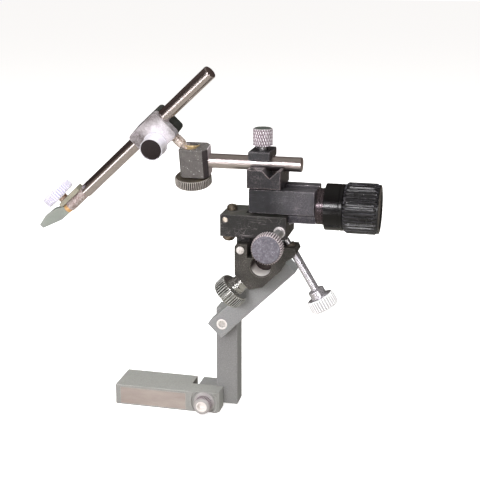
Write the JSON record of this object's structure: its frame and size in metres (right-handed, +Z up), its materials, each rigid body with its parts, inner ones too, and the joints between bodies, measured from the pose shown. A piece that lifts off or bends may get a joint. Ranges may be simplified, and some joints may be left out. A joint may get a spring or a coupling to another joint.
{
  "type": "micromanipulator",
  "caption": "Hinged-arm micromanipulator: block base, elbow arm, tilting rack slide, fine screw drive, V-block rod clamp, ball joint and angled electrode holder.",
  "frame": {"origin": "centre of the base block's underside", "axes": "+X to the right along the slides, +Y away from the front, +Z up out of the base's top"},
  "size_m": [0.1998, 0.0835, 0.211],
  "materials": {
    "arm_grey": "satin",
    "bare_pad": "satin",
    "bright_steel": "brushed",
    "dark_steel": "satin",
    "black_body": "black anodised",
    "chrome": "polished",
    "dark_chrome": "polished, dark",
    "brass": "polished",
    "dark_brass": "tarnished",
    "gold_chrome": "polished",
    "blackened_steel": "blackened, worn",
    "satin_silver": "satin",
    "gloss_black": "gloss black",
    "dark_satin": "satin",
    "grey_plate": "satin"
  },
  "bodies": {
    "base": {"base_block": "arm_grey", "base_pad": "bare_pad"},
    "post": {"post": "arm_grey", "foot_screw": "bright_steel", "foot_washer": "bright_steel", "elbow_pin": "bright_steel"},
    "upper_arm": {"upper_arm": "arm_grey", "elbow_bush": "bright_steel", "stub_rod": "dark_steel"},
    "bracket": {"bracket": "black_body", "bore_sleeve": "chrome", "clamp_washer": "chrome", "tilt_pin": "chrome", "tilt_bush": "brass"},
    "rod_clamp_knob": {"rod_clamp_knob": "dark_chrome"},
    "tilt_tip": {"tilt_tip": "brass"},
    "tilt_screw": {"tilt_screw": "chrome"},
    "slide_block": {"slide_block": "blackened_steel", "gib_strip": "brass", "gib_screw_a": "dark_steel", "gib_screw_b": "dark_steel", "lock_screw": "dark_brass", "lock_foot": "dark_brass", "set_pin": "brass", "pinion_bush": "brass"},
    "pinion": {"pinion": "bright_steel", "coarse_knob": "satin_silver"},
    "carriage": {"carriage": "black_body", "rack": "bright_steel", "drive_neck": "dark_chrome", "drive_barrel": "gloss_black"},
    "lead_screw": {"lead_screw": "bright_steel", "fine_knob": "gloss_black", "fine_set_screw": "dark_steel"},
    "v_block": {"v_block": "black_body", "feed_nut": "brass", "clamp_bridge": "black_body"},
    "thumbscrew": {"thumbscrew": "chrome"},
    "cross_rod": {"cross_rod": "chrome"},
    "joint_block": {"joint_block": "dark_satin", "ball_seat": "brass", "joint_plug": "brass"},
    "joint_knob": {"joint_knob": "dark_chrome"},
    "ball_stud": {"ball_stud": "gold_chrome"},
    "cross_clamp": {"clamp_rear": "black_body", "clamp_front": "satin_silver"},
    "cross_knob": {"cross_knob": "dark_chrome"},
    "holder_rod": {"holder_rod": "chrome"},
    "grip": {"grip_sleeve": "satin_silver", "grip_ring": "brass", "grip_plate": "grey_plate", "grip_jaw": "grey_plate"},
    "grip_knob": {"grip_knob": "chrome"}
  },
  "joints": [
    {"name": "foot_hinge", "type": "hinge", "parent": "base", "child": "post", "pos_m": [0.0335, 0, 0.0064], "axis": [0, -1, 0], "range_deg": [-5, 20]},
    {"name": "elbow_hinge", "type": "hinge", "parent": "post", "child": "upper_arm", "pos_m": [0.0449, 0, 0.058], "axis": [0, -1, 0], "range_deg": [-30, 20]},
    {"name": "bracket_turn", "type": "hinge", "parent": "upper_arm", "child": "bracket", "pos_m": [0.0734, -0.0245, 0.10304], "axis": [0, -1, 0], "range_deg": [-20, 20]},
    {"name": "rod_clamp_turn", "type": "hinge", "parent": "bracket", "child": "rod_clamp_knob", "pos_m": [0.0734, -0.0226, 0.10304], "axis": [-0.7071, 0, -0.7071], "range_deg": [0, 180]},
    {"name": "tilt_hinge", "type": "hinge", "parent": "bracket", "child": "slide_block", "pos_m": [0.0618, -0.0245, 0.1115], "axis": [0, -1, 0], "range_deg": [-2, 5]},
    {"name": "tilt_advance", "type": "slide", "parent": "bracket", "child": "tilt_tip", "axis": [-0.512, 0, 0.859], "range_m": [-0.00098, 0.00244]},
    {"name": "tilt_turn", "type": "hinge", "parent": "tilt_tip", "child": "tilt_screw", "pos_m": [0.08655, -0.0297, 0.11731], "axis": [-0.512, 0, 0.859], "range_deg": [-502, 1254]},
    {"name": "coarse_slide", "type": "slide", "parent": "slide_block", "child": "carriage", "axis": [1, 0, 0], "range_m": [-0.002, 0.008]},
    {"name": "coarse_turn", "type": "hinge", "parent": "slide_block", "child": "pinion", "pos_m": [0.0836, -0.0245, 0.123], "axis": [0, 1, 0], "range_deg": [-46, 184]},
    {"name": "fine_slide", "type": "slide", "parent": "carriage", "child": "v_block", "axis": [1, 0, 0], "range_m": [-0.005, 0.005]},
    {"name": "fine_turn", "type": "hinge", "parent": "carriage", "child": "lead_screw", "pos_m": [0.12, -0.0245, 0.136], "axis": [1, 0, 0], "range_deg": [-1801, 1801]},
    {"name": "thumb_turn", "type": "hinge", "parent": "v_block", "child": "thumbscrew", "pos_m": [0.0716, -0.0245, 0.165], "axis": [0, 0, 1], "range_deg": [0, 180]},
    {"name": "rod_slide", "type": "slide", "parent": "v_block", "child": "cross_rod", "axis": [1, 0, 0], "range_m": [-0.01, 0.01]},
    {"name": "joint_roll", "type": "hinge", "parent": "cross_rod", "child": "joint_block", "pos_m": [0.04, -0.0245, 0.1583], "axis": [1, 0, 0], "range_deg": [-40, 40]},
    {"name": "joint_knob_turn", "type": "hinge", "parent": "joint_block", "child": "joint_knob", "pos_m": [0.0316, -0.02534, 0.16211], "axis": [0, 0.2164, -0.9763], "range_deg": [0, 180]},
    {"name": "ball_tilt", "type": "hinge", "parent": "joint_block", "child": "ball_stud", "pos_m": [0.0316, -0.02534, 0.16211], "axis": [0, 0.9763, 0.2164], "range_deg": [-8, 30]},
    {"name": "clamp_swivel", "type": "hinge", "parent": "ball_stud", "child": "cross_clamp", "pos_m": [0.0316, -0.02534, 0.16211], "axis": [-0.682, -0.1583, 0.714], "range_deg": [-90, 90]},
    {"name": "cross_knob_turn", "type": "hinge", "parent": "cross_clamp", "child": "cross_knob", "pos_m": [0.01447, -0.03056, 0.16949], "axis": [0, -0.9763, -0.2164], "range_deg": [0, 180]},
    {"name": "holder_slide", "type": "slide", "parent": "cross_clamp", "child": "holder_rod", "axis": [0.7314, -0.1476, 0.6658], "range_m": [-0.02, 0.025]},
    {"name": "grip_roll", "type": "hinge", "parent": "holder_rod", "child": "grip", "pos_m": [-0.0322, -0.02331, 0.13675], "axis": [0.7314, -0.1476, 0.6658], "range_deg": [-180, 180]},
    {"name": "grip_knob_turn", "type": "hinge", "parent": "grip", "child": "grip_knob", "pos_m": [-0.04258, -0.02121, 0.12729], "axis": [-0.682, -0.1583, 0.714], "range_deg": [0, 180]}
  ],
  "couplings": [
    {"joint": "tilt_advance", "follows": "tilt_hinge", "m_per_rad": 0.0279},
    {"joint": "tilt_turn", "follows": "tilt_hinge", "ratio": 250.43},
    {"joint": "coarse_turn", "follows": "coarse_slide", "rad_per_m": 400},
    {"joint": "fine_turn", "follows": "fine_slide", "rad_per_m": -6283.2}
  ]
}
